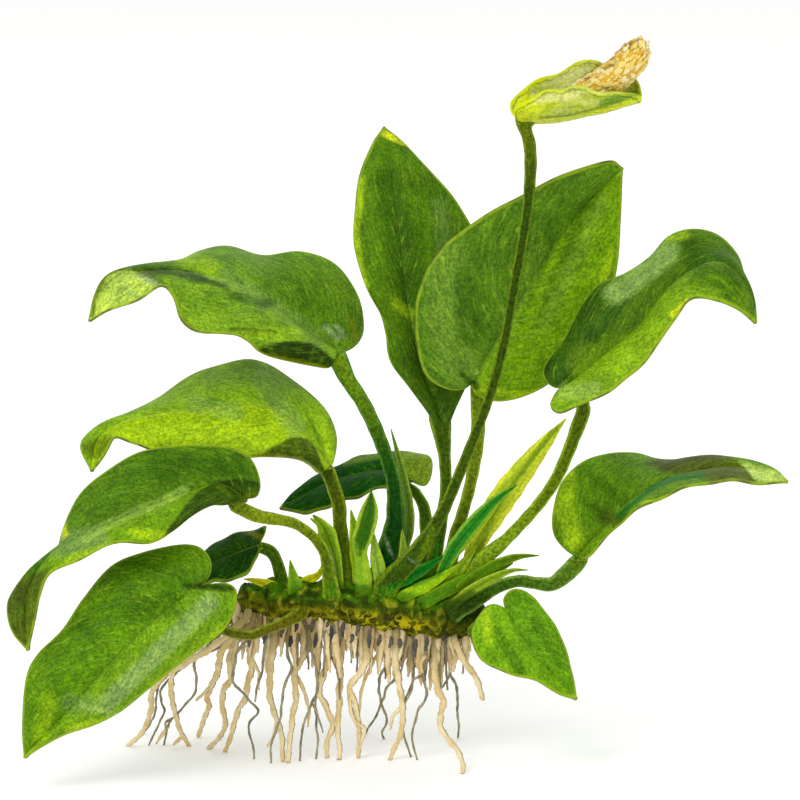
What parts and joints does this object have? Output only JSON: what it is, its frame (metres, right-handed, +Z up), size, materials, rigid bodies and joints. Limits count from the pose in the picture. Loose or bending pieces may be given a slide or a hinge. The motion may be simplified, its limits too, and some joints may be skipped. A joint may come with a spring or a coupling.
{
  "type": "flowering anubias plant with bare roots",
  "caption": "Flowering anubias water plant with a creeping stem, heart-shaped leathery leaves, one spathe with its spadix and a mat of bare wiry roots it stands on.",
  "frame": {"origin": "on the surface that the root tips rest on, under the middle of the whole plant's box", "axes": "+Z up, +X to the right along the creeping stem towards its growing tip, -Y towards the front that shows the big front leaf"},
  "size_m": [0.1535, 0.0628, 0.1456],
  "materials": {
    "leaf_green": "satin",
    "leaf_bright": "satin",
    "leaf_dark": "satin",
    "stalk": "satin",
    "young_yellow": "satin",
    "sheath": "satin",
    "rhizome": "rough bark",
    "root_tan": "matte fibrous",
    "root_grey": "matte fibrous",
    "spathe": "satin",
    "spadix": "matte, bumpy"
  },
  "bodies": {
    "root": {"bract_left": "leaf_green", "flower_stalk": "stalk", "leaf_back_centre_blade": "leaf_dark", "leaf_back_centre_stalk": "stalk", "leaf_far_left_blade": "leaf_green", "leaf_far_left_stalk": "stalk", "leaf_front_left_blade": "leaf_bright", "leaf_front_left_stalk": "stalk", "leaf_front_right_blade": "leaf_bright", "leaf_front_right_stalk": "stalk", "leaf_lower_right_blade": "leaf_green", "leaf_lower_right_stalk": "stalk", "leaf_middle_left_blade": "leaf_bright", "leaf_middle_left_stalk": "stalk", "leaf_small_left_blade": "leaf_dark", "leaf_small_left_stalk": "stalk", "leaf_top_centre_blade": "leaf_green", "leaf_top_centre_stalk": "stalk", "leaf_top_left_blade": "leaf_green", "leaf_top_left_stalk": "stalk", "leaf_upper_left_blade": "leaf_green", "leaf_upper_left_stalk": "stalk", "leaf_upper_right_blade": "leaf_green", "leaf_upper_right_stalk": "stalk", "rhizome": "rhizome", "root_01": "root_tan", "root_02": "root_grey", "root_03": "root_tan", "root_04": "root_grey", "root_05": "root_tan", "root_06": "root_grey", "root_07": "root_tan", "root_08": "root_grey", "root_09": "root_tan", "root_10": "root_grey", "root_11": "root_tan", "root_12": "root_grey", "root_13": "root_tan", "root_14": "root_grey", "root_15": "root_tan", "root_16": "root_grey", "root_17": "root_tan", "root_18": "root_grey", "root_19": "root_tan", "root_20": "root_grey", "root_21": "root_tan", "root_22": "root_grey", "root_23": "root_tan", "root_24": "root_grey", "root_25": "root_tan", "root_26": "root_grey", "sheath_left": "sheath", "sheath_right_lower": "sheath", "sheath_right_upper": "sheath", "spadix": "spadix", "spathe": "spathe", "young_leaf_green": "leaf_dark", "young_leaf_oval": "leaf_dark", "young_leaf_slim": "leaf_green", "young_leaf_yellow": "young_yellow"}
  },
  "joints": []
}
